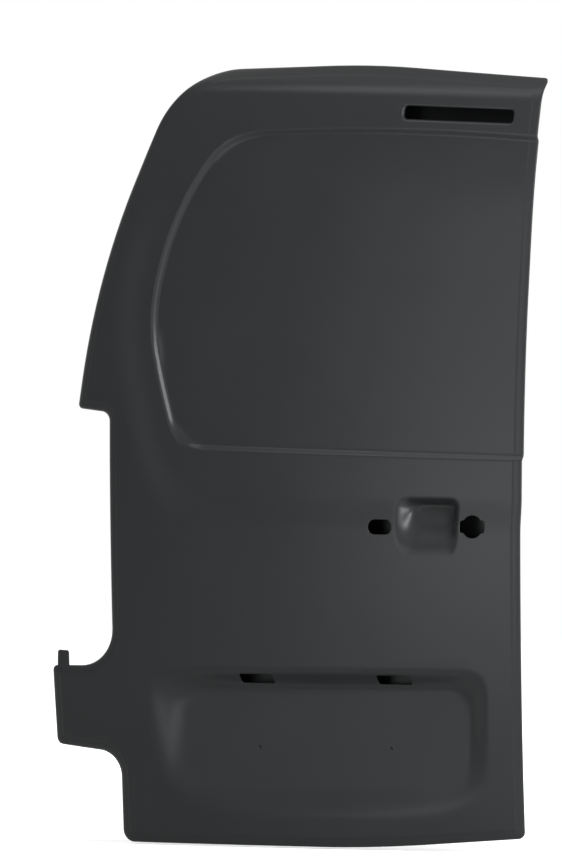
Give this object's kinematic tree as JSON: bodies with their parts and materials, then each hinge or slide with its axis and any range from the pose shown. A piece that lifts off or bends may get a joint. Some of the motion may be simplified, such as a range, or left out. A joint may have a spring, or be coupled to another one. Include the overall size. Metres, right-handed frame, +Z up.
{
  "type": "van rear door",
  "caption": "Bare left rear wing door shell of a small panel van, with a blanked window, handle bowl and plate recess.",
  "frame": {"origin": "centre of the face of the upper hinge pad, on the hinge side of the door", "axes": "+X across the door from the hinge side to the closing edge, +Y into the van, -Y is the outside, +Z up"},
  "size_m": [0.8326, 0.1871, 1.2468],
  "materials": {
    "primed_steel": "satin",
    "sealer": "matte"
  },
  "bodies": {
    "root": {"outer_skin": "primed_steel", "inner_panel": "primed_steel", "upper_hinge_pad": "primed_steel", "lower_hinge_pad": "primed_steel", "upper_hinge_tapping_plate": "primed_steel", "lower_hinge_tapping_plate": "primed_steel", "latch_plate": "primed_steel", "check_strap_plate": "primed_steel", "handle_reinforcement": "primed_steel", "belt_reinforcement": "primed_steel", "lower_cross_bar": "primed_steel", "upper_window_bar": "primed_steel", "lower_window_bar": "primed_steel", "mastic_pads": "sealer", "brake_lamp_bracket": "primed_steel", "plate_lamp_brackets": "primed_steel", "seam_sealer": "sealer"}
  },
  "joints": []
}
